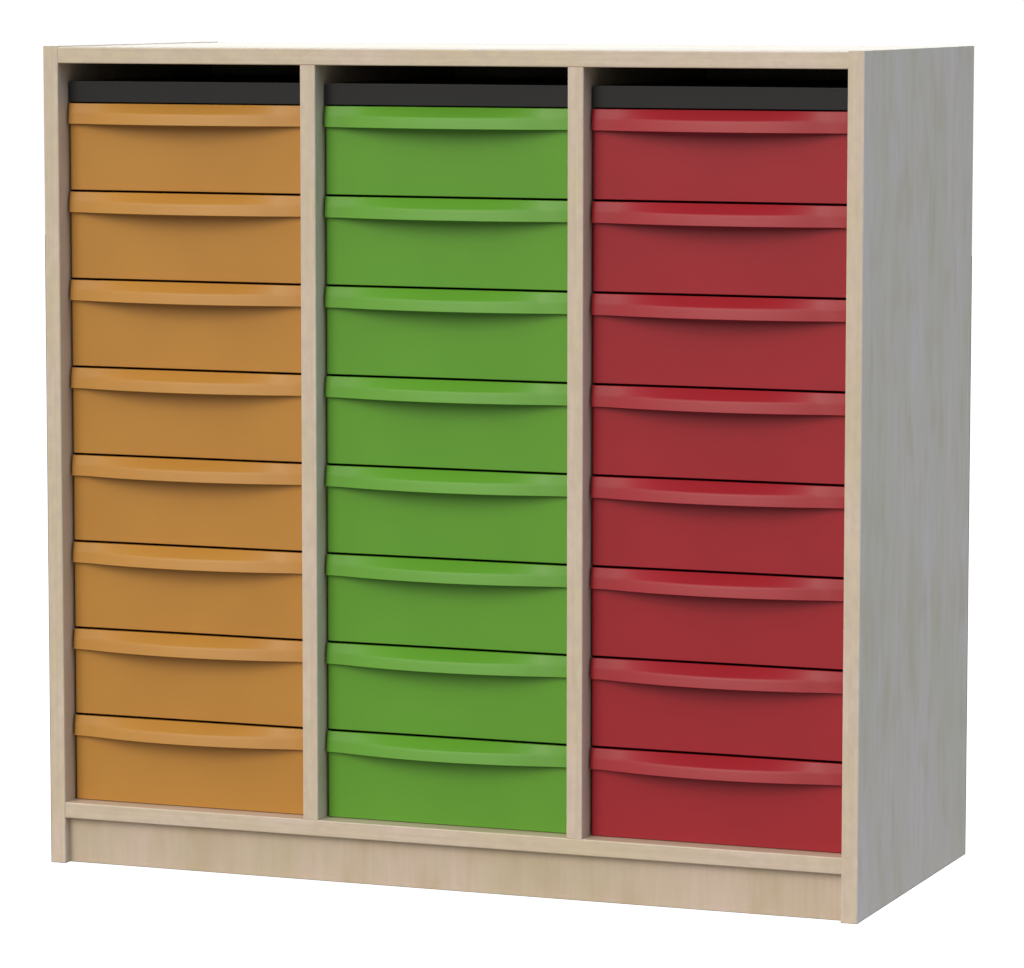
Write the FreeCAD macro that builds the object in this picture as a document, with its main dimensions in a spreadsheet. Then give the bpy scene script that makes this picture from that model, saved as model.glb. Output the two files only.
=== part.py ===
"""Classroom tray storage unit: a board cabinet with three columns of eight sliding trays.

Lengths are in millimetres. +X points to the right as seen from the front, +Y into the depth and
+Z up. The origin is on the floor, under the middle of the cabinet. Every tray slides out along -Y.
"""
import FreeCAD, Part
import Sketcher
import operator
import os

Vector = FreeCAD.Vector
Rotation = FreeCAD.Rotation
Placement = FreeCAD.Placement

COLUMNS = ("orange", "green", "red")
COLUMN_SIDES = ("left", "middle", "right")
ROWS = 8
DIAGONAL = 0.5 ** 0.5

DIMENSIONS = {
    # Cabinet of melamine-faced board
    "cabinet_width": 1000,
    "cabinet_depth": 445,
    "cabinet_height": 967,
    "board": 19,
    "edging": 2,
    "edging_round": 1.5,
    "front_step": 1,
    "top_step": 1,
    "plinth_height": 54,
    "plinth_recess": 12,
    "back_thickness": 8,
    "back_inset": 10,
    "groove_depth": 8,
    "groove_play": 0.5,
    # Fittings that join the boards
    "dowel_radius": 4,
    "dowel_length": 30,
    "dowel_in_face": 10,
    "cam_radius": 7.5,
    "cam_depth": 12.5,
    "cam_reach": 34,
    "bolt_thread_radius": 2.5,
    "bolt_thread_length": 9.5,
    "bolt_radius": 3,
    "bolt_shaft_length": 27,
    "bolt_neck_radius": 2,
    "bolt_neck_length": 4,
    "joint_front": 50,
    "joint_rear": 70,
    "dowel_spacing": 32,
    "plinth_dowel_low": 16,
    "plinth_dowel_rise": 22,
    # Trays, stacked at one pitch
    "tray_setback": 25,
    "tray_lift": 1.3,
    "tray_pitch": 103.6,
    "tray_height": 100.5,
    "tray_length": 385,
    "tray_half": 142,
    "tray_draft": 3.5,
    "tray_corner": 16,
    "tray_wall": 2.2,
    "tray_floor": 2.5,
    "tray_bevel": 2.5,
    "rim_top": 96,
    "rim_half": 150,
    "rim_thickness": 2.2,
    "rim_rear": 3,
    "rim_corner": 18,
    "face_half": 151,
    "face_corner": 6,
    "face_return": 12,
    # Grip lip of a tray: a sloping top, a ridge and a flange, both bowed to the front
    "lip_half": 152.5,
    "lip_corner": 5.5,
    "lip_back": 6,
    "lip_top_reach": 1,
    "lip_top_end_reach": 0.6,
    "ridge_drop": 11,
    "ridge_reach": 20.4,
    "ridge_end_reach": 1.5,
    "flange_drop": 23.9,
    "flange_reach": 24.8,
    "flange_end_reach": 3,
    "lip_skin": 2.4,
    "grip_half": 126,
    "grip_overcut": 1,
    # Runners on both sides of a column; both ends are alike, so that one fits either side
    "runner_thickness": 2.5,
    "runner_setback": 31,
    "runner_length": 384,
    "runner_height": 848,
    "ledge_inset": 12,
    "ledge_reach": 8,
    "ledge_root": 0.5,
    "ledge_thickness": 3,
    "guide_play": 0.8,
    "guide_thickness": 2,
    # Cover above each column
    "cover_gap": 1.5,
    "cover_height": 24.5,
    "cover_half": 152.5,
    "cover_skirt_half": 151,
    "cover_skirt_lift": 3.5,
    "cover_fascia": 3,
    "cover_root": 0.5,
    "cover_length": 390,
    "cover_wall": 2.2,
    "cover_corner": 2.5,
    # Countersunk screws that hold the runners
    "screw_radius": 1.75,
    "screw_length": 16,
    "screw_head_radius": 3.5,
    "screw_head_height": 1.75,
    "screw_low": 60,
    "screw_rise": 364,
    "screw_inset": 50,
}

SIGNS = {"+": operator.add, "-": operator.sub, "*": operator.mul, "/": operator.truediv}


class Size:
    """A length kept together with the sheet formula that it comes from."""

    def __init__(self, value, formula):
        self.value = value
        self.formula = formula

    def __add__(self, other):
        return combined(self, "+", other)

    def __radd__(self, other):
        return combined(other, "+", self)

    def __sub__(self, other):
        return combined(self, "-", other)

    def __rsub__(self, other):
        return combined(other, "-", self)

    def __mul__(self, other):
        return combined(self, "*", other)

    def __rmul__(self, other):
        return combined(other, "*", self)

    def __truediv__(self, other):
        return combined(self, "/", other)

    def __neg__(self):
        return combined(0, "-", self)


def as_size(number):
    return number if isinstance(number, Size) else Size(number, str(number))


def combined(left, sign, right):
    left = as_size(left)
    right = as_size(right)
    return Size(SIGNS[sign](left.value, right.value), f"({left.formula} {sign} {right.formula})")


doc = FreeCAD.newDocument("tray_storage_unit")
sheet = doc.addObject("Spreadsheet::Sheet", "dims")


def read_dimensions():
    """Fill the sheet and return each dimension as a Size."""
    sizes = {}
    for row, (alias, value) in enumerate(DIMENSIONS.items(), start=1):
        sheet.set(f"A{row}", alias)
        sheet.set(f"B{row}", str(value))
        sheet.setAlias(f"B{row}", alias)
        sizes[alias] = Size(value, f"dims.{alias}")
    doc.recompute()
    return sizes


d = read_dimensions()

# Places that several pieces share
left_inside = -d["cabinet_width"] / 2 + d["board"]
right_inside = d["cabinet_width"] / 2 - d["board"]
inside_width = d["cabinet_width"] - 2 * d["board"]
bay_width = (d["cabinet_width"] - 4 * d["board"]) / 3
bay_step = bay_width + d["board"]
front = -d["cabinet_depth"] / 2
rear = d["cabinet_depth"] / 2
inner_front = front + d["front_step"]
back_front = rear - d["back_inset"] - d["back_thickness"]
bottom_top = d["plinth_height"] + d["board"]
top_under = d["cabinet_height"] - d["top_step"] - d["board"]
top_tray_top = bottom_top + d["tray_lift"] + (ROWS - 1) * d["tray_pitch"] + d["tray_height"]
cover_base = top_tray_top + d["cover_gap"]

pieces = []


def bind(item, path, size):
    item.setExpression(path, as_size(size).formula)


def place(item, x=0, y=0, z=0, turn=None):
    """Put an item at a point, turned first if a rotation is given."""
    if turn is not None:
        item.Placement = Placement(Vector(), turn)
    for axis, value in (("x", x), ("y", y), ("z", z)):
        bind(item, f"Placement.Base.{axis}", value)
    return item


def keep(item, label):
    """Name an item as one of the unit's pieces."""
    item.Label = label
    pieces.append(item)
    return item


def box(name, length, width, height, x, y, z):
    item = doc.addObject("Part::Box", name)
    bind(item, "Length", length)
    bind(item, "Width", width)
    bind(item, "Height", height)
    return place(item, x, y, z)


def rod(name, radius, length, x, y, z, turn=None):
    item = doc.addObject("Part::Cylinder", name)
    bind(item, "Radius", radius)
    bind(item, "Height", length)
    return place(item, x, y, z, turn)


def group(name, members):
    item = doc.addObject("Part::Compound", name)
    item.Links = members
    return item


def copy_of(master, name, x, y, z, turn=None):
    item = doc.addObject("App::Link", name)
    item.LinkedObject = master
    return place(item, x, y, z, turn)


# Turns of a thing that is drawn standing up along +Z
TO_RIGHT = Rotation(Vector(0, 1, 0), 90)
TO_LEFT = Rotation(Vector(0, 1, 0), -90)
UPSIDE_DOWN = Rotation(Vector(1, 0, 0), 180)
HALF_TURN = Rotation(Vector(0, 0, 1), 180)


# ---- Sketches ----

def origin_part(body, role):
    for feature in body.Origin.OriginFeatures:
        if feature.Role == role:
            return feature
    raise ValueError(role)


def sketch_on(body, plane, name, lift=0):
    """Start a sketch on one of the body's own planes, lifted along the plane's normal."""
    sketch = body.newObject("Sketcher::SketchObject", name)
    sketch.AttachmentSupport = [(origin_part(body, plane), "")]
    sketch.MapMode = "FlatFace"
    bind(sketch, "AttachmentOffset.Base.z", lift)
    return sketch


def fix_point(sketch, geometry, end, x, y):
    """Bind a point of the sketch to its place; a zero puts it on the axis itself."""
    for kind, axis, size in (("DistanceX", -2, as_size(x)), ("DistanceY", -1, as_size(y))):
        if size.value == 0:
            sketch.addConstraint(Sketcher.Constraint("PointOnObject", geometry, end, axis))
            continue
        datum = Sketcher.Constraint(kind, -1, 1, geometry, end, size.value)
        index = sketch.addConstraint(datum)
        bind(sketch, f"Constraints[{index}]", size)


def fix_radius(sketch, geometry, radius):
    index = sketch.addConstraint(Sketcher.Constraint("Radius", geometry, radius.value))
    bind(sketch, f"Constraints[{index}]", radius)


def point(pair):
    return Vector(as_size(pair[0]).value, as_size(pair[1]).value, 0)


def outline(sketch, start, steps):
    """Draw a closed outline. A step is (end,) for a line or (middle, end, radius) for an arc.

    A sketch keeps every arc running anticlockwise, so a clockwise one starts at its point 2.
    """
    here = point(start)
    ends = []
    for step in steps:
        if len(step) == 1:
            end = point(step[0])
            sketch.addGeometry(Part.LineSegment(here, end), False)
            ends.append((1, 2))
        else:
            middle, end = point(step[0]), point(step[1])
            sketch.addGeometry(Part.Arc(here, middle, end), False)
            clockwise = (middle - here).cross(end - middle).z < 0
            ends.append((2, 1) if clockwise else (1, 2))
        here = end
    for number in range(len(steps)):
        following = (number + 1) % len(steps)
        joint = Sketcher.Constraint(
            "Coincident", number, ends[number][1], following, ends[following][0]
        )
        sketch.addConstraint(joint)
    here = start
    for number, step in enumerate(steps):
        fix_point(sketch, number, ends[number][0], *here)
        if len(step) == 1:
            here = step[0]
        else:
            here = step[1]
            fix_radius(sketch, number, step[2])
    return sketch


def rectangle(sketch, x0, y0, x1, y1):
    return outline(sketch, (x0, y0), [((x1, y0),), ((x1, y1),), ((x0, y1),), ((x0, y0),)])


def quarter(x, y, radius, x_sign, y_sign, x_last):
    """Arc step round a corner that would be at (x, y) if it were square.

    The signs say which way the corner points. The arc ends on its side that runs along x if
    x_last is true, and otherwise on the one that runs along y.
    """
    inward = radius * (1 - DIAGONAL)
    middle = (x - x_sign * inward, y - y_sign * inward)
    end = (x - x_sign * radius, y) if x_last else (x, y - y_sign * radius)
    return (middle, end, radius)


def bow(middle, end):
    """Arc step from the mirror image of an end point, through a middle at x = 0."""
    rise = end[1] - middle[1]
    radius = (end[0] * end[0] + rise * rise) / (2 * rise)
    return (middle, end, radius)


def pad(body, sketch, name, length, backwards=False):
    feature = body.newObject("PartDesign::Pad", name)
    feature.Profile = sketch
    feature.Reversed = backwards
    bind(feature, "Length", length)
    return feature


def loft(body, kind, name, sketches):
    feature = body.newObject(f"PartDesign::{kind}Loft", name)
    feature.Profile = sketches[0]
    feature.Sections = sketches[1:]
    feature.Ruled = True
    return feature


def edges_where(feature, test):
    """Names of the feature's edges for which the test on the edge's box holds."""
    doc.recompute()
    found = []
    for number, edge in enumerate(feature.Shape.Edges, start=1):
        if test(edge.BoundBox):
            found.append(f"Edge{number}")
    return found


def near(value, size):
    return abs(value - as_size(size).value) < 0.01


# ---- Tray, drawn once about the middle of the foot of its face ----

def tub_outline(sketch, half, length, corner, start):
    """Plan of the tub: square to the front, round at the two rear corners."""
    side = length - corner
    return outline(sketch, (-half, start), [
        ((-half, side),),
        quarter(-half, length, corner, -1, 1, True),
        ((half - corner, length),),
        quarter(half, length, corner, 1, 1, False),
        ((half, start),),
        ((-half, start),),
    ])


def tub_sections(body, name, inset, low, high, start):
    """Three plans of the tub: its bevelled foot, just above the bevel, and its top.

    The tub narrows towards its foot by the draft.
    """
    bevel = d["tray_bevel"]
    sections = []
    for level, height, narrower in (
        ("foot", low, d["tray_draft"] + bevel),
        ("wall", low + bevel, d["tray_draft"]),
        ("top", high, 0),
    ):
        sketch = sketch_on(body, "XY_Plane", f"{name}_{level}", height)
        tub_outline(
            sketch,
            d["tray_half"] - inset - narrower,
            d["tray_length"] - inset - narrower,
            d["tray_corner"] - inset,
            start,
        )
        sections.append(sketch)
    return sections


def add_face(body):
    """The flat face, wider than the tub, with short returns to the back."""
    half = d["face_half"]
    radius = d["face_corner"]
    wall = d["tray_wall"]
    depth = d["face_return"]
    inner = half - wall
    inner_radius = radius - wall
    sketch = sketch_on(body, "XY_Plane", "face_plan")
    outline(sketch, (-half, depth), [
        ((-half, radius),),
        quarter(-half, as_size(0), radius, -1, -1, True),
        ((half - radius, 0),),
        quarter(half, as_size(0), radius, 1, -1, False),
        ((half, depth),),
        ((inner, depth),),
        ((inner, radius),),
        quarter(inner, wall, inner_radius, 1, -1, True),
        ((-half + radius, wall),),
        quarter(-inner, wall, inner_radius, -1, -1, False),
        ((-inner, depth),),
        ((-half, depth),),
    ])
    return pad(body, sketch, "face", d["tray_height"])


def lip_section(body, name, drop, reach, end_reach):
    """Plan of the lip at one height: bowed front, round ends, straight back."""
    half = d["lip_half"]
    corner = d["lip_corner"]
    back = d["lip_back"]
    notch = half - d["face_corner"]
    sketch = sketch_on(body, "XY_Plane", name, d["tray_height"] - drop)
    return outline(sketch, (-half + corner, -end_reach), [
        bow((0, -reach), (half - corner, -end_reach)),
        quarter(half, -end_reach, corner, 1, -1, False),
        ((half, back),),
        ((notch, back),),
        ((notch, d["tray_wall"]),),
        ((-notch, d["tray_wall"]),),
        ((-notch, back),),
        ((-half, back),),
        ((-half, -end_reach + corner),),
        quarter(-half, -end_reach, corner, -1, -1, True),
    ])


def grip_section(body, name, height, reach, end_reach):
    """Plan of the finger space behind the flange at one height."""
    half = d["grip_half"]
    sketch = sketch_on(body, "XY_Plane", name, height)
    return outline(sketch, (-half, -end_reach), [
        bow((0, -reach), (half, -end_reach)),
        ((half, 0),),
        ((-half, 0),),
        ((-half, -end_reach),),
    ])


def arc_reach(reach, end_reach):
    """How far a bowed edge stands out where the finger space ends."""
    share = d["grip_half"] / (d["lip_half"] - d["lip_corner"])
    return reach - (reach - end_reach) * share * share


def add_lip(body):
    top = lip_section(body, "lip_top", 0, d["lip_top_reach"], d["lip_top_end_reach"])
    ridge = lip_section(
        body, "lip_ridge", d["ridge_drop"], d["ridge_reach"], d["ridge_end_reach"]
    )
    flange = lip_section(
        body, "lip_flange", d["flange_drop"], d["flange_reach"], d["flange_end_reach"]
    )
    return loft(body, "Additive", "lip", [flange, ridge, top])


def cut_grip(body):
    """Hollow the lip from below, leaving its skin."""
    skin = d["lip_skin"]
    under_ridge = d["tray_height"] - d["ridge_drop"] - skin
    ridge_reach = d["ridge_reach"] - skin
    ridge_end = arc_reach(d["ridge_reach"], d["ridge_end_reach"]) - skin
    flange_reach = d["flange_reach"] - skin
    flange_end = arc_reach(d["flange_reach"], d["flange_end_reach"]) - skin
    mouth = d["tray_height"] - d["flange_drop"] - d["grip_overcut"]
    ceiling = d["tray_height"] - 2 * skin
    sections = [
        grip_section(body, "grip_mouth", mouth, flange_reach, flange_end),
        grip_section(body, "grip_ridge", under_ridge, ridge_reach, ridge_end),
        grip_section(body, "grip_ceiling", ceiling, skin, skin / 2),
    ]
    return loft(body, "Subtractive", "grip", sections)


def add_rim(body):
    """Flat rim along both sides and the rear, which slides on the runners."""
    half = d["rim_half"]
    length = d["tray_length"] + d["rim_rear"]
    radius = d["rim_corner"]
    inner = d["tray_half"] - d["tray_wall"]
    inner_length = d["tray_length"] - d["tray_wall"]
    inner_radius = d["tray_corner"] - d["tray_wall"]
    start = d["face_return"] - d["tray_wall"]
    sketch = sketch_on(body, "XY_Plane", "rim_plan", d["rim_top"] - d["rim_thickness"])
    outline(sketch, (-half, start), [
        ((-half, length - radius),),
        quarter(-half, length, radius, -1, 1, True),
        ((half - radius, length),),
        quarter(half, length, radius, 1, 1, False),
        ((half, start),),
        ((inner, start),),
        ((inner, inner_length - inner_radius),),
        quarter(inner, inner_length, inner_radius, 1, 1, True),
        ((-inner + inner_radius, inner_length),),
        quarter(-inner, inner_length, inner_radius, -1, 1, False),
        ((-inner, start),),
        ((-half, start),),
    ])
    return pad(body, sketch, "rim", d["rim_thickness"])


def make_tray():
    body = doc.addObject("PartDesign::Body", "tray")
    loft(body, "Additive", "tub", tub_sections(body, "tub", as_size(0), 0, d["rim_top"], 0))
    add_face(body)
    add_lip(body)
    add_rim(body)
    inside = tub_sections(
        body, "inside", d["tray_wall"], d["tray_floor"], d["rim_top"], d["tray_wall"]
    )
    loft(body, "Subtractive", "inside", inside)
    body.Tip = cut_grip(body)
    return body


# ---- Runner, drawn once: its outer face at x = 0, its foot at z = 0 ----

def add_rail(body, name, low, thickness):
    """A rib along the runner, set in from both of the runner's ends."""
    sketch = sketch_on(body, "XZ_Plane", f"{name}_section", -d["ledge_inset"])
    inner = d["runner_thickness"]
    rectangle(sketch, inner - d["ledge_root"], low, inner + d["ledge_reach"], low + thickness)
    return pad(body, sketch, name, d["runner_length"] - 2 * d["ledge_inset"], backwards=True)


def make_runner():
    body = doc.addObject("PartDesign::Body", "runner")
    plate = sketch_on(body, "YZ_Plane", "plate_side")
    rectangle(plate, 0, 0, d["runner_length"], d["runner_height"])
    pad(body, plate, "plate", d["runner_thickness"])
    ledge_top = d["tray_lift"] + d["rim_top"] - d["rim_thickness"]
    ledge = add_rail(body, "ledge", ledge_top - d["ledge_thickness"], d["ledge_thickness"])
    guide_low = ledge_top + d["rim_thickness"] + d["guide_play"]
    guide = add_rail(body, "guide", guide_low, d["guide_thickness"])
    stack = body.newObject("PartDesign::LinearPattern", "stack")
    stack.Originals = [ledge, guide]
    stack.Direction = (origin_part(body, "Z_Axis"), [""])
    stack.Occurrences = ROWS
    bind(stack, "Length", (ROWS - 1) * d["tray_pitch"])
    body.Tip = stack
    cover_rest = cover_base + d["cover_skirt_lift"] - bottom_top
    add_rail(body, "cover_ledge", cover_rest - d["ledge_thickness"], d["ledge_thickness"])
    body.Tip = drill_runner(body)
    return body


def screw_spots():
    """Places of a runner's screws, as (y, z) on its plate."""
    spots = []
    for level in range(3):
        height = d["screw_low"] + level * d["screw_rise"]
        spots.append((d["screw_inset"], height))
        spots.append((d["runner_length"] - d["screw_inset"], height))
    return spots


def drill_runner(body):
    sketch = sketch_on(body, "YZ_Plane", "screw_holes")
    for number, (y, z) in enumerate(screw_spots()):
        circle = Part.Circle(point((y, z)), Vector(0, 0, 1), d["screw_radius"].value)
        sketch.addGeometry(circle, False)
        fix_point(sketch, number, 3, y, z)
        fix_radius(sketch, number, d["screw_radius"])
    holes = body.newObject("PartDesign::Pocket", "holes")
    holes.Profile = sketch
    holes.Reversed = True
    bind(holes, "Length", d["runner_thickness"])
    rims = edges_where(holes, is_hole_mouth)
    sink = body.newObject("PartDesign::Chamfer", "countersinks")
    sink.Base = (holes, rims)
    bind(sink, "Size", d["screw_head_radius"] - d["screw_radius"])
    return sink


def is_hole_mouth(b):
    """True for the small circles on the runner's inner face."""
    on_inner_face = near(b.XMin, d["runner_thickness"]) and near(b.XMax, d["runner_thickness"])
    return on_inner_face and near(b.YLength, 2 * d["screw_radius"])


# ---- Cover, drawn once about the middle of the foot of its fascia ----

def make_cover():
    body = doc.addObject("PartDesign::Body", "cover")
    fascia = sketch_on(body, "XZ_Plane", "fascia_front")
    half = d["cover_half"]
    high = d["cover_height"]
    round_top = d["cover_corner"]
    outline(fascia, (-half, 0), [
        ((-half, high - round_top),),
        quarter(-half, high, round_top, -1, 1, True),
        ((half - round_top, high),),
        quarter(half, high, round_top, 1, 1, False),
        ((half, 0),),
        ((-half, 0),),
    ])
    pad(body, fascia, "fascia", d["cover_fascia"], backwards=True)
    hood = sketch_on(body, "XY_Plane", "hood_plan", d["cover_skirt_lift"])
    skirt = d["cover_skirt_half"]
    wall = d["cover_wall"]
    start = d["cover_fascia"] - d["cover_root"]
    rectangle(hood, -skirt, start, skirt, d["cover_length"])
    pad(body, hood, "hood", high - d["cover_skirt_lift"])
    hollow = sketch_on(body, "XY_Plane", "hollow_plan")
    rectangle(
        hollow, -skirt + wall, d["cover_fascia"], skirt - wall, d["cover_length"] - wall
    )
    cut = body.newObject("PartDesign::Pocket", "hollow")
    cut.Profile = hollow
    cut.Reversed = True
    bind(cut, "Length", high - wall)
    body.Tip = cut
    return body


# ---- Fittings ----

def make_screw():
    """A countersunk screw along +Z, its head's flat face at z = 0, pointing to -Z."""
    head = doc.addObject("Part::Cone", "screw_head")
    bind(head, "Radius1", d["screw_radius"])
    bind(head, "Radius2", d["screw_head_radius"])
    bind(head, "Height", d["screw_head_height"])
    place(head, z=-d["screw_head_height"])
    shank = rod("screw_shank", d["screw_radius"], d["screw_length"], 0, 0, -d["screw_length"])
    screw = doc.addObject("Part::Fuse", "screw")
    screw.Base = head
    screw.Tool = shank
    return screw


def make_cam_bolt():
    """A cam bolt along +Z: its thread is below z = 0, its shaft, neck and head above."""
    thread = rod(
        "bolt_thread", d["bolt_thread_radius"], d["bolt_thread_length"],
        0, 0, -d["bolt_thread_length"],
    )
    shaft = rod("bolt_shaft", d["bolt_radius"], d["bolt_shaft_length"], 0, 0, 0)
    neck = rod(
        "bolt_neck", d["bolt_neck_radius"], d["bolt_neck_length"], 0, 0, d["bolt_shaft_length"]
    )
    head_start = d["bolt_shaft_length"] + d["bolt_neck_length"]
    head = rod("bolt_head", d["bolt_radius"], d["cam_reach"] - head_start, 0, 0, head_start)
    bolt = doc.addObject("Part::MultiFuse", "cam_bolt")
    bolt.Shapes = [thread, shaft, neck, head]
    return bolt


def partition_left(number):
    """Left face of partition 0 or 1."""
    return left_inside + bay_width + number * bay_step


def board_joints():
    """Every cammed board end, as (x, z, turn, cam x, cam z, cam turn)."""
    middle = d["board"] / 2
    reach = d["cam_reach"]
    joints = []
    for base in (d["plinth_height"], top_under):
        height = base + middle
        joints.append((left_inside, height, TO_RIGHT, left_inside + reach, base, None))
        joints.append((right_inside, height, TO_LEFT, right_inside - reach, base, None))
    for number in range(2):
        face = partition_left(number)
        centre = face + middle
        joints.append((centre, bottom_top, None, face, bottom_top + reach, TO_RIGHT))
        joints.append((centre, top_under, UPSIDE_DOWN, face, top_under - reach, TO_RIGHT))
    return joints


def make_cams():
    """Cam bolts and cam housings, two at each end of a board, and the holes for both."""
    bolt = make_cam_bolt()
    bolts = []
    housings = []
    for number, (x, z, turn, cam_x, cam_z, cam_turn) in enumerate(board_joints()):
        for place_name, y in (("f", front + d["joint_front"]), ("r", rear - d["joint_rear"])):
            name = f"{number}{place_name}"
            bolts.append(copy_of(bolt, f"bolt_{name}", x, y, z, turn))
            housings.append(
                rod(f"cam_{name}", d["cam_radius"], d["cam_depth"], cam_x, y, cam_z, cam_turn)
            )
    bolt_group = group("cam_bolts", bolts)
    blanks = group("cam_blanks", housings)
    housing_group = doc.addObject("Part::Cut", "cam_housings")
    housing_group.Base = blanks
    housing_group.Tool = bolt_group
    holes = doc.addObject("Part::MultiFuse", "cam_holes")
    holes.Shapes = [bolt_group, blanks]
    return bolt_group, housing_group, holes


def make_dowels():
    """Dowels beside the cams, and two at each end of both plinth boards."""
    radius = d["dowel_radius"]
    length = d["dowel_length"]
    inward = d["dowel_in_face"]
    dowels = []

    def add(x, y, z, turn):
        dowels.append(rod(f"dowel_{len(dowels)}", radius, length, x, y, z, turn))

    depths = (
        front + d["joint_front"] + d["dowel_spacing"],
        rear - d["joint_rear"] - d["dowel_spacing"],
    )
    for y in depths:
        for base in (d["plinth_height"], top_under):
            height = base + d["board"] / 2
            add(left_inside - inward, y, height, TO_RIGHT)
            add(right_inside + inward, y, height, TO_LEFT)
        for number in range(2):
            centre = partition_left(number) + d["board"] / 2
            add(centre, y, bottom_top - inward, None)
            add(centre, y, top_under + inward, UPSIDE_DOWN)
    plinth_middles = (
        front + d["plinth_recess"] + d["board"] / 2,
        back_front - d["board"] / 2,
    )
    for y in plinth_middles:
        for step in range(2):
            height = d["plinth_dowel_low"] + step * d["plinth_dowel_rise"]
            add(left_inside - inward, y, height, TO_RIGHT)
            add(right_inside + inward, y, height, TO_LEFT)
    return group("wood_dowels", dowels)


def runner_places():
    """The six runners, as (label, x, y, turn); a right one is a left one turned half round."""
    places = []
    near_y = front + d["runner_setback"]
    for number, side in enumerate(COLUMN_SIDES):
        bay_left = left_inside + number * bay_step
        places.append((f"{side}_column_left_runner", bay_left, near_y, None))
        far_y = near_y + d["runner_length"]
        places.append((f"{side}_column_right_runner", bay_left + bay_width, far_y, HALF_TURN))
    return places


def make_runner_screws(screw):
    screws = []
    head = d["runner_thickness"]
    for label, x, y, turn in runner_places():
        sign = 1 if turn is None else -1
        for spot_y, spot_z in screw_spots():
            screws.append(copy_of(
                screw, f"screw_{len(screws)}",
                x + sign * head, y + sign * spot_y, bottom_top + spot_z,
                TO_RIGHT if turn is None else TO_LEFT,
            ))
    return group("runner_screws", screws)


# ---- Boards ----

def worked(name, blank, holes, groove):
    """Drill a blank for its fittings and plough the groove for the back panel."""
    item = doc.addObject("Part::Cut", name)
    item.Base = blank
    item.Tool = group(f"{name}_cutters", holes + groove)
    return keep(item, name)


def back_groove(name, low_x, wide, low_z, high):
    return [box(name, wide, d["back_thickness"], high, low_x, back_front, low_z)]


def make_side_panels(holes):
    for label, x, groove_x in (
        ("left_side_panel", -d["cabinet_width"] / 2, left_inside - d["groove_depth"]),
        ("right_side_panel", right_inside, right_inside),
    ):
        blank = box(
            f"{label}_blank", d["board"], d["cabinet_depth"] - d["edging"], d["cabinet_height"],
            x, front + d["edging"], 0,
        )
        groove_low = bottom_top - d["groove_depth"]
        groove_high = top_under + d["groove_depth"] - groove_low
        groove = back_groove(
            f"{label}_groove", groove_x, d["groove_depth"], groove_low, groove_high
        )
        worked(label, blank, holes, groove)


def make_top_and_bottom(holes):
    for label, z, groove_z in (
        ("top_panel", top_under, top_under),
        ("bottom_panel", d["plinth_height"], bottom_top - d["groove_depth"]),
    ):
        start = inner_front + d["edging"]
        blank = box(
            f"{label}_blank", inside_width, rear - start, d["board"], left_inside, start, z
        )
        groove = back_groove(
            f"{label}_groove", left_inside, inside_width, groove_z, d["groove_depth"]
        )
        worked(label, blank, holes, groove)


def make_partitions(holes):
    start = inner_front + d["edging"]
    for number, label in enumerate(("left_partition", "right_partition")):
        blank = box(
            f"{label}_blank", d["board"], back_front - start, top_under - bottom_top,
            partition_left(number), start, bottom_top,
        )
        worked(label, blank, holes, [])


def make_plinth_and_back(holes):
    for label, y in (
        ("front_plinth", front + d["plinth_recess"]),
        ("rear_plinth", back_front - d["board"]),
    ):
        blank = box(
            f"{label}_blank", inside_width, d["board"], d["plinth_height"], left_inside, y, 0
        )
        worked(label, blank, holes, [])
    reach = d["groove_depth"] - d["groove_play"]
    back = box(
        "back_panel", inside_width + 2 * reach, d["back_thickness"],
        top_under - bottom_top + 2 * reach,
        left_inside - reach, back_front, bottom_top - reach,
    )
    keep(back, "back_panel")


def edging_strip(label, length, height, x, y, z):
    """An edging strip with its two long front edges rounded."""
    blank = box(f"{label}_blank", length, d["edging"], height, x, y, z)
    doc.recompute()
    long_way = max(length.value, height.value)
    rounding = doc.addObject("Part::Fillet", label)
    rounding.Base = blank
    radius = d["edging_round"].value
    rounding.Edges = [
        (number, radius, radius)
        for number, edge in enumerate(blank.Shape.Edges, start=1)
        if near(edge.Length, long_way) and near(edge.BoundBox.YMax, y)
    ]
    return keep(rounding, label)


def make_edging():
    board = d["board"]
    for label, x in (
        ("left_side_edging", -d["cabinet_width"] / 2),
        ("right_side_edging", right_inside),
    ):
        edging_strip(label, board, d["cabinet_height"], x, front, as_size(0))
    for number, label in enumerate(("left_partition_edging", "right_partition_edging")):
        edging_strip(
            label, board, top_under - bottom_top, partition_left(number), inner_front, bottom_top
        )
    edging_strip("top_panel_edging", inside_width, board, left_inside, inner_front, top_under)
    edging_strip(
        "bottom_panel_edging", inside_width, board, left_inside, inner_front, d["plinth_height"]
    )


# ---- The unit ----

def make_unit():
    dowels = make_dowels()
    cam_bolts, cam_housings, cam_holes = make_cams()
    runner_screws = make_runner_screws(make_screw())
    for fitting in (dowels, cam_bolts, cam_housings, runner_screws):
        keep(fitting, fitting.Name)

    holes = [dowels, cam_holes, runner_screws]
    make_side_panels(holes)
    make_top_and_bottom(holes)
    make_partitions(holes)
    make_plinth_and_back(holes)
    make_edging()

    runner = make_runner()
    for label, x, y, turn in runner_places():
        keep(copy_of(runner, label, x, y, bottom_top, turn), label)

    tray = make_tray()
    cover = make_cover()
    face_y = front + d["tray_setback"]
    for number, colour in enumerate(COLUMNS):
        middle = left_inside + bay_width / 2 + number * bay_step
        label = f"{COLUMN_SIDES[number]}_column_cover"
        keep(copy_of(cover, label, middle, face_y, cover_base), label)
        for row in range(ROWS):
            label = f"{colour}_tray_{row + 1}"
            height = bottom_top + d["tray_lift"] + (ROWS - 1 - row) * d["tray_pitch"]
            keep(copy_of(tray, label, middle, face_y, height), label)


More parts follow.
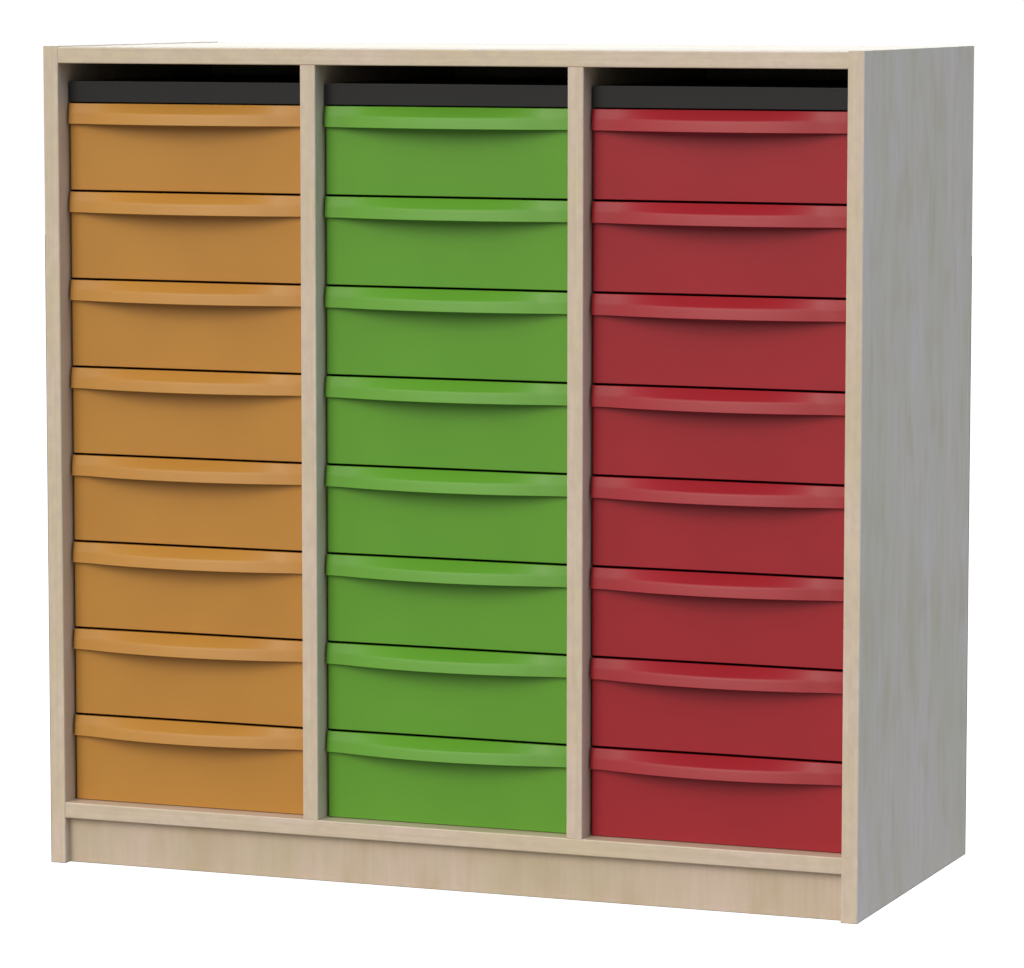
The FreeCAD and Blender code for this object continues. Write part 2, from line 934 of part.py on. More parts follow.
def check_document():
    for item in doc.Objects:
        if "Invalid" in item.State or "Error" in item.State:
            raise RuntimeError(f"{item.Name} failed: {item.State}")
    for piece in pieces:
        shape = Part.getShape(piece)
        if shape.isNull() or not shape.isValid():
            raise RuntimeError(f"{piece.Label} has no valid shape")


def write_pieces():
    os.makedirs("parts", exist_ok=True)
    for piece in pieces:
        shape = Part.getShape(piece)
        shape.exportStep(os.path.join("parts", f"{piece.Label}.step"))
        print(piece.Label, len(shape.Solids), "solids", round(shape.Volume / 1000, 1), "cm3")


make_unit()
doc.recompute()
check_document()
write_pieces()
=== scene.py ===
"""Looks of a classroom tray storage unit: a maple board cabinet with sliding plastic trays."""
import math

import bmesh
import bpy
from mathutils import Matrix, Vector


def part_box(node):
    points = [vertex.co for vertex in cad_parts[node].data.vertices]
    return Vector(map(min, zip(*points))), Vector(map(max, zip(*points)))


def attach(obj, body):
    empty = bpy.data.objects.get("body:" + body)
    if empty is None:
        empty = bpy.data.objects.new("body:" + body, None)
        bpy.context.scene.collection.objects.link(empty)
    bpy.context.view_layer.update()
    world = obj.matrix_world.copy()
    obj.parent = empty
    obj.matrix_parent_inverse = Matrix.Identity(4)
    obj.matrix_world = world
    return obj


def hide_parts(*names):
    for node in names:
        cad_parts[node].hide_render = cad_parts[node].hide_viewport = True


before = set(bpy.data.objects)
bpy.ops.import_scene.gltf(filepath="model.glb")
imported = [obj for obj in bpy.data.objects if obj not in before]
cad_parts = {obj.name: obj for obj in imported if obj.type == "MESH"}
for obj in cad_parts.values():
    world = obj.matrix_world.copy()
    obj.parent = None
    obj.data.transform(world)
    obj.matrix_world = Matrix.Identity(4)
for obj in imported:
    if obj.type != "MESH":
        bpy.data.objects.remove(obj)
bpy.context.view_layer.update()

MM = 0.001
COLUMNS = ("orange", "green", "red")
COLUMN_SIDES = ("left", "middle", "right")
ROWS = 8


# ---- Camera, lights and floor ----

CAMERA_PLACE = Vector((1.96098, -5.05162, 1.04122))
CAMERA_YAW = math.radians(21.1975)
CAMERA_PITCH = math.radians(6.2288)
CAMERA_ROLL = math.radians(0.0274)
LENS = 161.61
SENSOR_WIDTH = 36.0
FILL_COLOUR = (0.92, 0.96, 1.0, 1.0)
FILL_STRENGTH = 0.20
BACKDROP_COLOUR = (1.0, 1.0, 1.0, 1.0)
BACKDROP_STRENGTH = 1.04
# Scales the direction of a sky light to its place. Only the direction counts
SKY_DISTANCE = 4.0
# Direction, strength, width in degrees and colour of the light from above
OVERHEAD = ((-0.1, -0.5, 1.0), 0.70, 70, (0.94, 0.98, 1.0))
FLOOR_HALF = 12.0


def make_camera():
    """A long lens at the front right, a little above the unit."""
    data = bpy.data.cameras.new("camera")
    data.lens = LENS
    data.sensor_fit = "HORIZONTAL"
    data.sensor_width = SENSOR_WIDTH
    camera = bpy.data.objects.new("camera", data)
    turn = Matrix.Rotation(CAMERA_YAW, 4, "Z") @ Matrix.Rotation(math.pi / 2 - CAMERA_PITCH, 4, "X")
    camera.matrix_world = (
        Matrix.Translation(CAMERA_PLACE) @ turn @ Matrix.Rotation(CAMERA_ROLL, 4, "Z")
    )
    bpy.context.collection.objects.link(camera)
    bpy.context.scene.camera = camera


def aim(item, target):
    """Point an object's -Z at a target."""
    item.rotation_euler = (target - item.location).to_track_quat("-Z", "Y").to_euler()


def sky_light(name, towards, strength, spread, colour):
    """A far, wide lamp: even over the whole set, with soft shadows."""
    data = bpy.data.lights.new(name, "SUN")
    data.energy = strength
    data.angle = math.radians(spread)
    data.color = colour
    lamp = bpy.data.objects.new(name, data)
    lamp.location = Vector(towards) * SKY_DISTANCE
    aim(lamp, Vector((0.0, 0.0, 0.0)))
    bpy.context.collection.objects.link(lamp)
    return lamp


def panel_light(name, place, target, size, power, spread, colour):
    """A rectangular softbox near the unit, hidden from the camera."""
    data = bpy.data.lights.new(name, "AREA")
    data.shape = "RECTANGLE"
    data.size, data.size_y = size
    data.energy = power
    data.spread = math.radians(spread)
    data.color = colour
    lamp = bpy.data.objects.new(name, data)
    lamp.location = place
    aim(lamp, Vector(target))
    lamp.visible_camera = False
    bpy.context.collection.objects.link(lamp)
    return lamp


def linked_lamps(name, lamps, floor, state):
    """Light only the floor, or everything but the floor, with these lamps."""
    linked = bpy.data.collections.new(name)
    linked.objects.link(floor)
    linked.collection_objects[0].light_linking.link_state = state
    for lamp in lamps:
        lamp.light_linking.receiver_collection = linked
    return linked


def make_lights(floor):
    """Softboxes for the unit, one for the floor without the unit's shadow, and a white backdrop."""
    unit_lamps = [
        sky_light("overhead_softbox", *OVERHEAD),
        sky_light("front_softbox", (-0.28, -1.0, 0.58), 1.86, 40, (1.0, 0.94, 0.86)),
        sky_light("right_softbox", (1.0, 0.06, 0.3), 2.08, 40, (0.46, 0.63, 0.92)),
        sky_light("left_softbox", (-1.0, -0.1, 0.4), 0.6, 60, (1.0, 0.97, 0.94)),
        panel_light(
            "top_softbox", (0.0, 0.03, 1.6), (0.0, 0.03, 0.0), (1.3, 0.3), 1.0, 60, (0.75, 0.88, 1.0)
        ),
        panel_light(
            "rear_softbox", (-1.0, 2.8, 1.6), (0.0, 0.0, 0.9), (3.4, 1.8), 50.0, 180, (0.84, 0.94, 1.0)
        ),
    ]
    linked_lamps("lit_without_floor", unit_lamps, floor, "EXCLUDE")
    floor_lamp = sky_light("floor_softbox", *OVERHEAD)
    floor_only = linked_lamps("lit_floor", [floor_lamp], floor, "INCLUDE")
    floor_lamp.light_linking.blocker_collection = floor_only
    world = bpy.data.worlds.new("studio")
    bpy.context.scene.world = world
    world.use_nodes = True
    tree = world.node_tree
    fill = tree.nodes["Background"]
    fill.inputs["Color"].default_value = FILL_COLOUR
    fill.inputs["Strength"].default_value = FILL_STRENGTH
    backdrop = add(tree, "ShaderNodeBackground", {
        "Color": BACKDROP_COLOUR, "Strength": BACKDROP_STRENGTH,
    })
    seen = add(tree, "ShaderNodeLightPath", {}, "Is Camera Ray")
    both = add(tree, "ShaderNodeMixShader", {0: seen, 1: fill.outputs["Background"], 2: backdrop})
    set_inputs(tree, tree.nodes["World Output"], {"Surface": both})


def make_floor():
    """A wide sheet that shows only the shadows that fall on it."""
    bm = bmesh.new()
    bmesh.ops.create_grid(bm, x_segments=1, y_segments=1, size=FLOOR_HALF)
    floor = piece_from(bm, "floor")
    floor.data.materials.append(studio_paper())
    floor.is_shadow_catcher = True
    return floor


# ---- Materials ----

# Places of a Mix node's sockets when it mixes colours
MIX_SHARE, MIX_FIRST, MIX_SECOND, MIX_RESULT = 0, 6, 7, 2


def linear(text):
    """A hex sRGB colour as linear RGBA."""
    levels = [int(text[k:k + 2], 16) / 255 for k in (1, 3, 5)]
    return [v / 12.92 if v <= 0.04045 else ((v + 0.055) / 1.055) ** 2.4 for v in levels] + [1.0]


def new_material(name):
    """A material with its principled shader and its node tree."""
    material = bpy.data.materials.new(name)
    material.use_nodes = True
    tree = material.node_tree
    return material, tree, tree.nodes["Principled BSDF"]


def set_inputs(tree, node, inputs):
    """Give a node's inputs, by name or number, a value or the output of another node."""
    for name, value in inputs.items():
        if isinstance(value, bpy.types.NodeSocket):
            tree.links.new(value, node.inputs[name])
        else:
            node.inputs[name].default_value = value


def add(tree, kind, inputs, out=0, **settings):
    """Add a node with its settings and links, and return one of its outputs."""
    node = tree.nodes.new(kind)
    for name, value in settings.items():
        setattr(node, name, value)
    set_inputs(tree, node, inputs)
    return node.outputs[out]


def stretch(axis, length, across):
    """Scale of a grain: how often it repeats in a metre, from its size in millimetres."""
    return [1 / ((length if name == axis else across) * MM) for name in "xyz"]


def printed_patterns(tree, axis, sizes, shift=0.0):
    """The noise patterns of a decor print, each drawn out along the grain.

    Each pattern has a name, its length along the grain and its width in millimetres, and how much
    fine detail it has. A shift gives another stretch of the same print.
    """
    place = add(tree, "ShaderNodeTexCoord", {}, "Object")
    patterns = {}
    for name, length, across, detail in sizes:
        fitted = add(tree, "ShaderNodeMapping", {
            "Vector": place, "Location": (shift, shift, shift), "Scale": stretch(axis, length, across),
        })
        patterns[name] = add(
            tree, "ShaderNodeTexNoise", {"Vector": fitted, "Scale": 1.0, "Detail": detail}
        )
    return patterns


def tinted(tree, colour, patterns, tints):
    """Lay tones over a colour, each where its pattern is strong.

    Each tint has its pattern's name, the levels of the pattern at which it starts and is full, its
    greatest share and its tone.
    """
    for name, start, full, share, tone in tints:
        amount = add(tree, "ShaderNodeMapRange", {
            "Value": patterns[name], "From Min": start, "From Max": full, "To Min": 0.0, "To Max": share,
        })
        colour = add(tree, "ShaderNodeMix", {
            MIX_SHARE: amount, MIX_FIRST: colour, MIX_SECOND: linear(tone),
        }, MIX_RESULT, data_type="RGBA")
    return colour


def studio_paper():
    """Pale background paper: plain and matt, with clouds of about 400 mm too faint to see."""
    material, tree, shader = new_material("background_paper")
    place = add(tree, "ShaderNodeTexCoord", {}, "Object")
    clouds = add(tree, "ShaderNodeTexNoise", {"Vector": place, "Scale": 1 / (400 * MM), "Detail": 2.0})
    tone = add(tree, "ShaderNodeMix", {
        MIX_SHARE: clouds, MIX_FIRST: linear("#e4e4e4"), MIX_SECOND: linear("#e8e8e8"),
    }, MIX_RESULT, data_type="RGBA")
    set_inputs(tree, shader, {"Base Color": tone, "Roughness": 0.9})
    return material


def maple_melamine(name, axis, shift=0.0):
    """Maple-decor melamine board: a printed pale grain under a satin pressed surface.

    Over a broad, soft figure lie streaks some 11 mm wide, lines of 4 mm, and patches that are a
    little darker and yellower. The pores are drawn 1.6 mm wide, because real ones would not show.
    """
    material, tree, shader = new_material(name)
    grain = printed_patterns(tree, axis, (
        ("figure", 300, 80, 2.0), ("streaks", 130, 11, 3.0), ("patches", 95, 36, 2.0),
        ("lines", 70, 4, 2.0), ("pores", 30, 1.6, 2.0),
    ), shift)
    wood = tinted(tree, linear("#d3bfad"), grain, (
        ("figure", 0.36, 0.64, 1.0, "#cab99f"), ("streaks", 0.42, 0.75, 0.20, "#b9a88b"),
        ("patches", 0.50, 0.68, 0.44, "#bca783"), ("lines", 0.42, 0.70, 0.22, "#b9a68c"),
    ))
    gloss = add(tree, "ShaderNodeMapRange", {
        "Value": grain["streaks"], "From Min": 0.3, "From Max": 0.7, "To Min": 0.44, "To Max": 0.52,
    })
    relief = add(tree, "ShaderNodeBump", {
        "Height": grain["pores"], "Distance": 0.06 * MM, "Strength": 0.35,
    })
    set_inputs(tree, shader, {
        "Base Color": wood, "Roughness": gloss, "IOR": 1.5, "Normal": relief,
    })
    return material


def maple_edging(name, axis):
    """Maple-decor plastic edging: a smooth satin strip, cloudy and mottled, with fine lines along it."""
    material, tree, shader = new_material(name)
    grain = printed_patterns(tree, axis, (
        ("clouds", 110, 40, 2.0), ("mottle", 16, 9, 3.0), ("lines", 170, 3.2, 3.0),
    ))
    strip = tinted(tree, linear("#dbc8b5"), grain, (
        ("clouds", 0.35, 0.65, 1.0, "#d5c5a7"), ("mottle", 0.38, 0.66, 0.55, "#cab7a5"),
        ("lines", 0.40, 0.75, 0.35, "#c0ae95"),
    ))
    relief = add(tree, "ShaderNodeBump", {
        "Height": grain["lines"], "Distance": 0.03 * MM, "Strength": 0.3,
    })
    set_inputs(tree, shader, {"Base Color": strip, "Roughness": 0.42, "IOR": 1.5, "Normal": relief})
    return material


def polypropylene(name, colour, darker):
    """Moulded polypropylene: even colour and a satin surface from a fine spark-eroded mould.

    The mould's texture is drawn 1.2 mm coarse, because its real 0.1 mm grit would not show. The
    colour clouds over about 90 mm, hardly to be seen.
    """
    material, tree, shader = new_material(name)
    place = add(tree, "ShaderNodeTexCoord", {}, "Object")
    clouds = add(tree, "ShaderNodeTexNoise", {"Vector": place, "Scale": 1 / (90 * MM), "Detail": 2.0})
    grit = add(tree, "ShaderNodeTexNoise", {"Vector": place, "Scale": 1 / (1.2 * MM), "Detail": 2.0})
    tone = tinted(tree, linear(colour), {"clouds": clouds}, (("clouds", 0.35, 0.65, 0.6, darker),))
    gloss = add(tree, "ShaderNodeMapRange", {
        "Value": grit, "From Min": 0.3, "From Max": 0.7, "To Min": 0.43, "To Max": 0.51,
    })
    relief = add(tree, "ShaderNodeBump", {"Height": grit, "Distance": 0.02 * MM, "Strength": 0.3})
    set_inputs(tree, shader, {
        "Base Color": tone, "Roughness": gloss, "IOR": 1.46, "Normal": relief,
    })
    return material


def metal(name, colour, rough):
    """Plated or cast metal of a fitting, a little uneven in its shine over 1.5 mm."""
    material, tree, shader = new_material(name)
    place = add(tree, "ShaderNodeTexCoord", {}, "Object")
    mottle = add(tree, "ShaderNodeTexNoise", {"Vector": place, "Scale": 1 / (1.5 * MM), "Detail": 2.0})
    tone = tinted(tree, linear(colour), {"mottle": mottle}, (("mottle", 0.3, 0.7, 0.3, "#8d8d8a"),))
    gloss = add(tree, "ShaderNodeMapRange", {
        "Value": mottle, "From Min": 0.3, "From Max": 0.7, "To Min": rough, "To Max": rough + 0.1,
    })
    set_inputs(tree, shader, {"Base Color": tone, "Roughness": gloss, "Metallic": 1.0})
    return material


def beech():
    """Plain beech of the dowels, with short fine flecks along the grain."""
    material, tree, shader = new_material("turned_beech")
    grain = printed_patterns(tree, "x", (("flecks", 8, 0.6, 3.0),))
    tone = tinted(tree, linear("#c9a77d"), grain, (("flecks", 0.35, 0.65, 1.0, "#dcc09a"),))
    set_inputs(tree, shader, {"Base Color": tone, "Roughness": 0.6})
    return material


# ---- Making meshes ----

# Lengths in metres below this count as nothing
TINY = 1e-6
CORNER_STEPS = 8
EDGE_ROUND = 0.5
EDGE_STEPS = 2


def piece_from(bm, name):
    """Turn a finished bmesh into an object at the origin."""
    mesh = bpy.data.meshes.new(name)
    bm.to_mesh(mesh)
    bm.free()
    item = bpy.data.objects.new(name, mesh)
    bpy.context.collection.objects.link(item)
    return item


def smooth_by_angle(item, degrees=12):
    """Shade small rounds smoothly and keep the flats beside them flat."""
    item.data.shade_smooth()
    item.data.set_sharp_from_angle(angle=math.radians(degrees))
    shading = item.modifiers.new("flats", "WEIGHTED_NORMAL")
    shading.keep_sharp = True
    settle(item)


def block(bm, low, high):
    """Add a box between two corners and return its vertices."""
    corners = bmesh.ops.create_cube(bm, size=1.0)["verts"]
    low, high = Vector(low), Vector(high)
    for v in corners:
        v.co = (low + high) / 2 + Vector(a * b for a, b in zip(v.co, high - low))
    return corners


def edges_within(bm, test):
    """The edges whose two ends both pass a test of their place."""
    return [e for e in bm.edges if test(e.verts[0].co) and test(e.verts[1].co)]


def bevel(bm, edges, width, segments):
    """Round edges over a width in metres."""
    bmesh.ops.bevel(
        bm, geom=edges, offset=width, segments=segments,
        affect="EDGES", profile=0.5, material=-1, clamp_overlap=True,
    )


def sharp_edges(bm, degrees=50):
    """The edges at which two faces turn by more than an angle."""
    limit = math.radians(degrees)
    return [e for e in bm.edges if e.is_manifold and e.calc_face_angle(0.0) > limit]


def round_wall_edges(bm, radius=EDGE_ROUND):
    """Take the sharpness off every wall edge, as a mould does."""
    bevel(bm, sharp_edges(bm), radius * MM, EDGE_STEPS)


def thicken(bm, thickness, outward):
    """Give an open sheet a wall towards its inner side, as one closed skin.

    The face that lies furthest outward tells which side of the sheet is the outer one.
    """
    bmesh.ops.recalc_face_normals(bm, faces=bm.faces[:])
    outward = Vector(outward)
    outermost = max(bm.faces, key=lambda f: f.calc_center_median().dot(outward))
    if outermost.normal.dot(outward) < 0:
        bmesh.ops.reverse_faces(bm, faces=bm.faces[:])
    bmesh.ops.solidify(bm, geom=bm.faces[:], thickness=thickness)
    bmesh.ops.recalc_face_normals(bm, faces=bm.faces[:])


# ---- Trays ----

TRAY_HEIGHT = 100.5
FACE_HALF = 152.3
FACE_CORNER = 4.5
FACE_RETURN = 5.8
FACE_FOOT = -0.6
FACE_TOP_DROP = 0.3
WALL = 2.2
TUB_HALF = 142.0
TUB_LENGTH = 385.0
TUB_DRAFT = 3.5
TUB_CORNER = 16.0
TUB_FOOT_ROUND = 5.0
TUB_START = 0.6
RIM_HALF = 150.0
RIM_LENGTH = 388.0
RIM_TOP = 96.0
LIP_HALF = 152.5
LIP_CORNER = 5.5
LIP_BACK = 6.0
LIP_SKIN = 2.4
LIP_ROOT = 1.2
LIP_EDGE_ROUND = 0.45
LIP_BACK_INSET = 3.0
LIP_TOP_REACH = 2.9
LIP_TOP_LEAST = 0.1
LIP_TOP_BOW = 27000.0
RIDGE_REACH = 21.8
RIDGE_LEAST = 4.6
RIDGE_BOW = 450.0
RIDGE_DROP = 11.0
RIDGE_END_RISE = 1.7
RIDGE_ROUND = 1.1
RIDGE_STEPS = 3
# The ridge's edges turn by more than this many degrees, and lie at most this far above it
RIDGE_ANGLE = 8
RIDGE_BAND = 2.0
# An edge along the lip falls by less than this from one end to the other
LEVEL_WITHIN = 0.5
SHOULDER_REACH = 22.9
SHOULDER_LEAST = 4.9
SHOULDER_BOW = 458.0
SHOULDER_DROP = 14.0
SHOULDER_END_RISE = 1.4
FLANGE_REACH = 24.8
FLANGE_LEAST = 5.6
FLANGE_BOW = 485.0
FLANGE_DROP = 23.9
GRIP_HALF = 138.0
GRIP_ROOF_DROP = 2.6
GRIP_ROOF_REACH = -0.2
GRIP_RIDGE_LIFT = 0.9
GRIP_FLANGE_EXTRA = 0.4
GRIP_FLANGE_LEAST = 0.4
GRIP_BACK = 0.4
# How far a cutting shape runs past what it cuts
CUT_PAST = 1.0
# How softly a bow runs out into its straight ends, and how many cuts divide its length
BOW_FADE = 1.5
BOW_CUTS = 39


def bowed(x, reach, radius, least):
    """How far a bowed edge stands out at x: a round arc that fades into a straight end."""
    arc = reach - radius + math.sqrt(radius * radius - x * x)
    return least + BOW_FADE * math.log(1 + math.exp((arc - least) / BOW_FADE))


def bowed_bar(half, back, rows):
    """A bar along X with a flat back, its front bent to bowed rows.

    Each row, from the top down, has a height, the reach at its middle, the radius it is bowed
    to, its least reach and how far it rises towards the ends.
    """
    bm = bmesh.new()
    heights = [row[0] for row in rows]
    in_front = -1.0
    section = [(back, heights[0])] + [(in_front, z) for z in heights] + [(back, heights[-1])]
    corners = [bm.verts.new((-half * MM, y * MM, z * MM)) for y, z in section]
    end = bm.faces.new(corners)
    far_end = bmesh.ops.extrude_face_region(bm, geom=[end])["geom"]
    far_corners = [v for v in far_end if isinstance(v, bmesh.types.BMVert)]
    bmesh.ops.translate(bm, verts=far_corners, vec=(2 * half * MM, 0, 0))
    long_edges = [e for e in bm.edges if e.calc_length() > half * MM]
    bmesh.ops.subdivide_edges(bm, edges=long_edges, cuts=BOW_CUTS)
    for v in bm.verts:
        if v.co.y > 0:
            continue
        height, reach, radius, least, rise = min(rows, key=lambda row: abs(row[0] * MM - v.co.z))
        x = v.co.x / MM
        v.co.y = -bowed(x, reach, radius, least) * MM
        v.co.z = (height + rise * (x / LIP_HALF) ** 2) * MM
    bmesh.ops.recalc_face_normals(bm, faces=bm.faces[:])
    return bm


def make_lip():
    """The pull lip: a sloping top, a bowed ridge with a shoulder, and a flange that leans out."""
    ridge_height = TRAY_HEIGHT - RIDGE_DROP
    bm = bowed_bar(LIP_HALF, LIP_BACK, (
        (TRAY_HEIGHT, LIP_TOP_REACH, LIP_TOP_BOW, LIP_TOP_LEAST, 0.0),
        (ridge_height, RIDGE_REACH, RIDGE_BOW, RIDGE_LEAST, RIDGE_END_RISE),
        (
            TRAY_HEIGHT - SHOULDER_DROP, SHOULDER_REACH, SHOULDER_BOW, SHOULDER_LEAST,
            SHOULDER_END_RISE,
        ),
        (TRAY_HEIGHT - FLANGE_DROP, FLANGE_REACH, FLANGE_BOW, FLANGE_LEAST, 0.0),
    ))
    ends = edges_within(bm, lambda co: abs(co.x) > (LIP_HALF - 0.01) * MM and co.y < 0)
    bevel(bm, ends, LIP_CORNER * MM, CORNER_STEPS)
    above_shoulder = TRAY_HEIGHT - (RIDGE_DROP + SHOULDER_DROP) / 2

    def on_ridge(edge):
        """Whether an edge runs along the ridge, its height less the shoulder's rise at that x."""
        a, b = (v.co for v in edge.verts)
        height = a.z / MM - SHOULDER_END_RISE * (a.x / MM / LIP_HALF) ** 2
        level = abs(a.z - b.z) < LEVEL_WITHIN * MM
        return level and above_shoulder < height < ridge_height + RIDGE_BAND

    ridge = [e for e in sharp_edges(bm, RIDGE_ANGLE) if on_ridge(e)]
    bevel(bm, ridge, RIDGE_ROUND * MM, RIDGE_STEPS)
    round_wall_edges(bm, LIP_EDGE_ROUND)
    return piece_from(bm, "lip")


def make_grip():
    """The hollow under the lip, where the fingers go in."""
    roof = TRAY_HEIGHT - GRIP_ROOF_DROP
    bm = bowed_bar(GRIP_HALF, GRIP_BACK, (
        (roof, GRIP_ROOF_REACH, LIP_TOP_BOW, 0.0, 0.0),
        (
            roof - RIDGE_DROP + GRIP_RIDGE_LIFT, RIDGE_REACH - LIP_SKIN, RIDGE_BOW, 0.0,
            RIDGE_END_RISE,
        ),
        (
            TRAY_HEIGHT - FLANGE_DROP - CUT_PAST, FLANGE_REACH - LIP_SKIN + GRIP_FLANGE_EXTRA,
            FLANGE_BOW, GRIP_FLANGE_LEAST, 0.0,
        ),
    ))
    return piece_from(bm, "grip")


def make_lip_back():
    """The room behind the lip, between the two sides of the face plate."""
    bm = bmesh.new()
    block(
        bm, ((LIP_BACK_INSET - LIP_HALF) * MM, LIP_ROOT * MM, (TRAY_HEIGHT - FLANGE_DROP - CUT_PAST) * MM),
        ((LIP_HALF - LIP_BACK_INSET) * MM, (LIP_BACK + CUT_PAST) * MM, (TRAY_HEIGHT + CUT_PAST) * MM),
    )
    return piece_from(bm, "lip_back")


def make_face():
    """The tray's front plate with its short returns: a box without its back, top and bottom."""
    bm = bmesh.new()
    block(
        bm, (-FACE_HALF * MM, 0, FACE_FOOT * MM),
        (FACE_HALF * MM, FACE_RETURN * MM, (TRAY_HEIGHT - FACE_TOP_DROP) * MM),
    )
    front = edges_within(bm, lambda co: abs(co.y) < TINY)
    uprights = [e for e in front if abs(e.verts[0].co.x - e.verts[1].co.x) < TINY]
    bevel(bm, uprights, FACE_CORNER * MM, CORNER_STEPS)
    open_sides = [f for f in bm.faces if f.normal.y > 0.9 or abs(f.normal.z) > 0.9]
    bmesh.ops.delete(bm, geom=open_sides, context="FACES")
    thicken(bm, WALL * MM, (0, -1, 0))
    round_wall_edges(bm)
    return piece_from(bm, "face")


def make_tub():
    """The tray's body: a tapering tub with a flat rim along its sides and rear."""
    bm = bmesh.new()
    foot_half = TUB_HALF - TUB_DRAFT
    foot_length = TUB_LENGTH - TUB_DRAFT
    wall_top = RIM_TOP - WALL
    block(
        bm, (-foot_half * MM, TUB_START * MM, 0),
        (foot_half * MM, foot_length * MM, wall_top * MM),
    )
    rear_uprights = [
        e for e in bm.edges
        if abs(e.verts[0].co.z - e.verts[1].co.z) > TINY and e.verts[0].co.y > foot_half * MM
    ]
    bevel(bm, rear_uprights, TUB_CORNER * MM, CORNER_STEPS)
    top = [f for f in bm.faces if f.normal.z > 0.9]
    bmesh.ops.delete(bm, geom=top, context="FACES")
    foot = edges_within(bm, lambda co: co.z < TINY)
    bevel(bm, foot, TUB_FOOT_ROUND * MM, CORNER_STEPS)
    top_edges = edges_within(bm, lambda co: co.z > (wall_top - 0.01) * MM)
    for v in {v for e in top_edges for v in e.verts}:
        v.co.x *= TUB_HALF / foot_half
        if v.co.y > foot_half * MM:
            v.co.y *= TUB_LENGTH / foot_length
    behind_face = [e for e in top_edges if max(v.co.y for v in e.verts) > foot_half * MM]
    rim = bmesh.ops.extrude_edge_only(bm, edges=behind_face)["geom"]
    for v in rim:
        if isinstance(v, bmesh.types.BMVert):
            v.co.x *= RIM_HALF / TUB_HALF
            if v.co.y > foot_half * MM:
                v.co.y *= RIM_LENGTH / TUB_LENGTH
    thicken(bm, WALL * MM, (0, 0, -1))
    round_wall_edges(bm)
    return piece_from(bm, "tub")


def drop(item):
    """Delete an object and its mesh."""
    mesh = item.data
    bpy.data.objects.remove(item)
    bpy.data.meshes.remove(mesh)


def settle(item):
    """Turn an object's modifiers into its mesh."""
    depsgraph = bpy.context.evaluated_depsgraph_get()
    mesh = bpy.data.meshes.new_from_object(item.evaluated_get(depsgraph))
    item.modifiers.clear()
    old = item.data
    item.data = mesh
    bpy.data.meshes.remove(old)


def joined(base, parts, operation="UNION"):
    """Unite a closed shell with others, or cut them out of it. The others are used up."""
    for part in parts:
        step = base.modifiers.new("join", "BOOLEAN")
        step.operation = operation
        step.solver = "EXACT"
        step.object = part
    settle(base)
    for part in parts:
        drop(part)
    return base


def make_trays(plastics):
    """One moulding, copied to the place of every tray."""
    lip = joined(make_lip(), [make_grip(), make_lip_back()], "DIFFERENCE")
    moulding = joined(make_face(), [lip, make_tub()])
    smooth_by_angle(moulding)
    for colour in COLUMNS:
        for row in range(1, ROWS + 1):
            node = f"{colour}_tray_{row}"
            low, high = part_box(node)
            place = Vector(((low[0] + high[0]) / 2, low[1] + FLANGE_REACH * MM, low[2]))
            mesh = moulding.data.copy()
            mesh.transform(Matrix.Translation(place))
            tray = bpy.data.objects.new(f"{node}_moulding", mesh)
            bpy.context.collection.objects.link(tray)
            mesh.materials.append(plastics[colour])
            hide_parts(node)
            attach(tray, node)
    drop(moulding)


# ---- Covers ----

COVER_HALF = 151.9
COVER_SKIRT_HALF = 151.0
COVER_SKIRT_LIFT = 3.5
COVER_SKIRT_SETBACK = 1.0
COVER_FASCIA = 3.0
COVER_CORNER = 2.5
COVER_WALL = 2.2


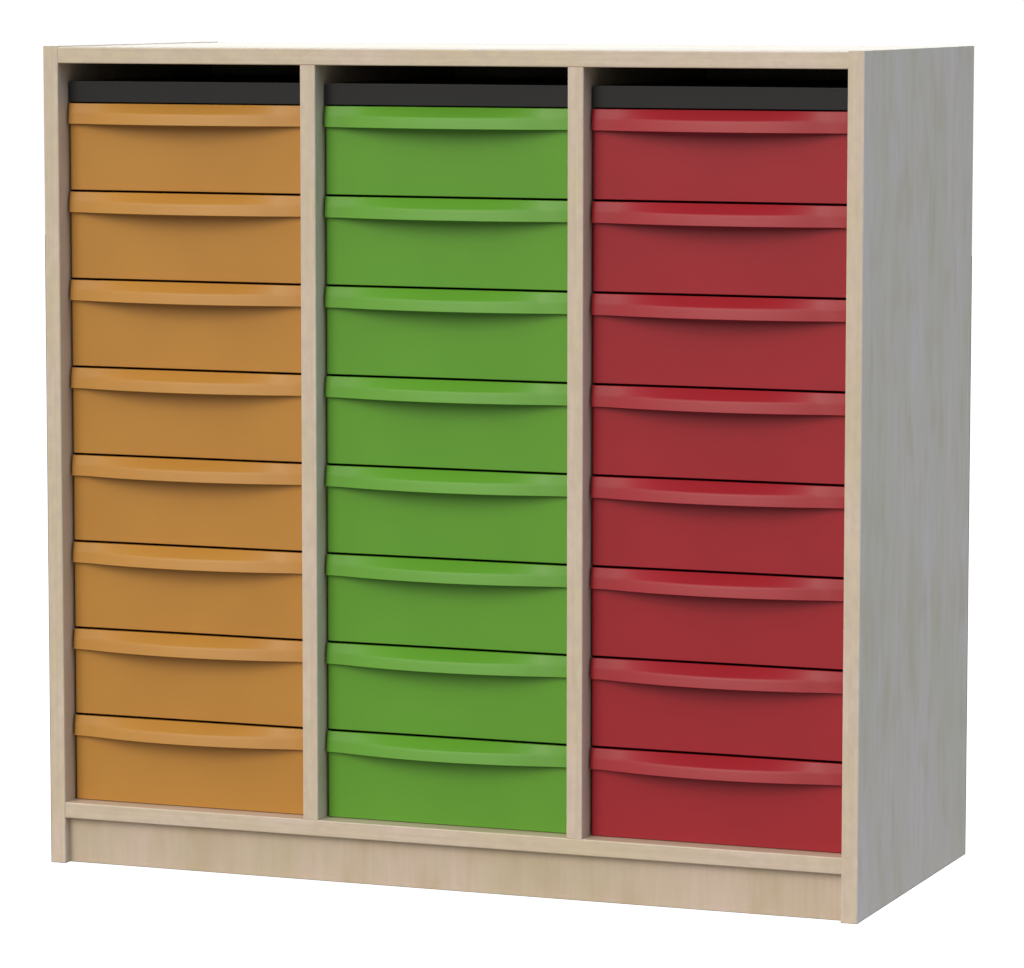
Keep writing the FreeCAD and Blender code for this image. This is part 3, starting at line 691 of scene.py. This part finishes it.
def make_cover(side, black):
    """A shallow hood with a front fascia whose upper corners are round."""
    node = f"{side}_column_cover"
    low, high = (Vector(corner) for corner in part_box(node))
    middle = (low.x + high.x) / 2
    bm = bmesh.new()
    block(
        bm, (middle - COVER_HALF * MM, low.y, low.z),
        (middle + COVER_HALF * MM, low.y + COVER_FASCIA * MM, high.z),
    )
    upper_corners = [
        e for e in bm.edges
        if abs(e.verts[0].co.y - e.verts[1].co.y) > TINY and e.verts[0].co.z > high.z - TINY
    ]
    bevel(bm, upper_corners, COVER_CORNER * MM, CORNER_STEPS)
    round_wall_edges(bm)
    fascia = piece_from(bm, "fascia")

    bm = bmesh.new()
    block(
        bm,
        (
            middle - COVER_SKIRT_HALF * MM, low.y + COVER_SKIRT_SETBACK * MM,
            low.z + COVER_SKIRT_LIFT * MM,
        ),
        (middle + COVER_SKIRT_HALF * MM, high.y, high.z),
    )
    under = [f for f in bm.faces if f.normal.z < -0.9]
    bmesh.ops.delete(bm, geom=under, context="FACES")
    thicken(bm, COVER_WALL * MM, (0, 0, 1))
    round_wall_edges(bm)
    hood = piece_from(bm, "hood")

    cover = joined(fascia, [hood])
    cover.name = f"{node}_moulding"
    smooth_by_angle(cover)
    cover.data.materials.append(black)
    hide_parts(node)
    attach(cover, "cabinet")


# ---- Finishes of the boards and fittings ----

def finish(node, material):
    """Put a finish on a CAD node."""
    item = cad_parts[node]
    if not item.material_slots:
        item.data.materials.append(material)
    for place in item.material_slots:
        place.material = material


def finish_cabinet(black):
    """Finish the boards, edging, runners and fittings."""
    upright = maple_melamine("maple_board_upright", "z")
    lying = maple_melamine("maple_board_lying", "x", shift=3.7)
    for node in (
        "left_side_panel", "right_side_panel", "left_partition", "right_partition",
        "front_plinth", "rear_plinth", "back_panel",
    ):
        finish(node, upright)
    for node in ("top_panel", "bottom_panel"):
        finish(node, lying)
    strip_upright = maple_edging("maple_strip_upright", "z")
    strip_lying = maple_edging("maple_strip_lying", "x")
    for node in (
        "left_side_edging", "right_side_edging", "left_partition_edging", "right_partition_edging",
    ):
        finish(node, strip_upright)
    for node in ("top_panel_edging", "bottom_panel_edging"):
        finish(node, strip_lying)
    for side in COLUMN_SIDES:
        for end in ("left", "right"):
            finish(f"{side}_column_{end}_runner", black)
    finish("wood_dowels", beech())
    plated = metal("zinc_plated_steel", "#b9b8b2", 0.32)
    finish("cam_bolts", plated)
    finish("runner_screws", plated)
    finish("cam_housings", metal("die_cast_zinc", "#a7a9ab", 0.42))


# ---- The unit ----

make_camera()
make_lights(make_floor())
bpy.context.scene.view_settings.view_transform = "Standard"

black_plastic = polypropylene("black_polypropylene", "#101012", "#0e0e10")
tray_plastics = {
    "orange": polypropylene("orange_polypropylene", "#c18939", "#bb8336"),
    "green": polypropylene("green_polypropylene", "#62a02b", "#5e9b29"),
    "red": polypropylene("red_polypropylene", "#a31e29", "#9d1c27"),
}
finish_cabinet(black_plastic)
make_trays(tray_plastics)
for column_side in COLUMN_SIDES:
    make_cover(column_side, black_plastic)
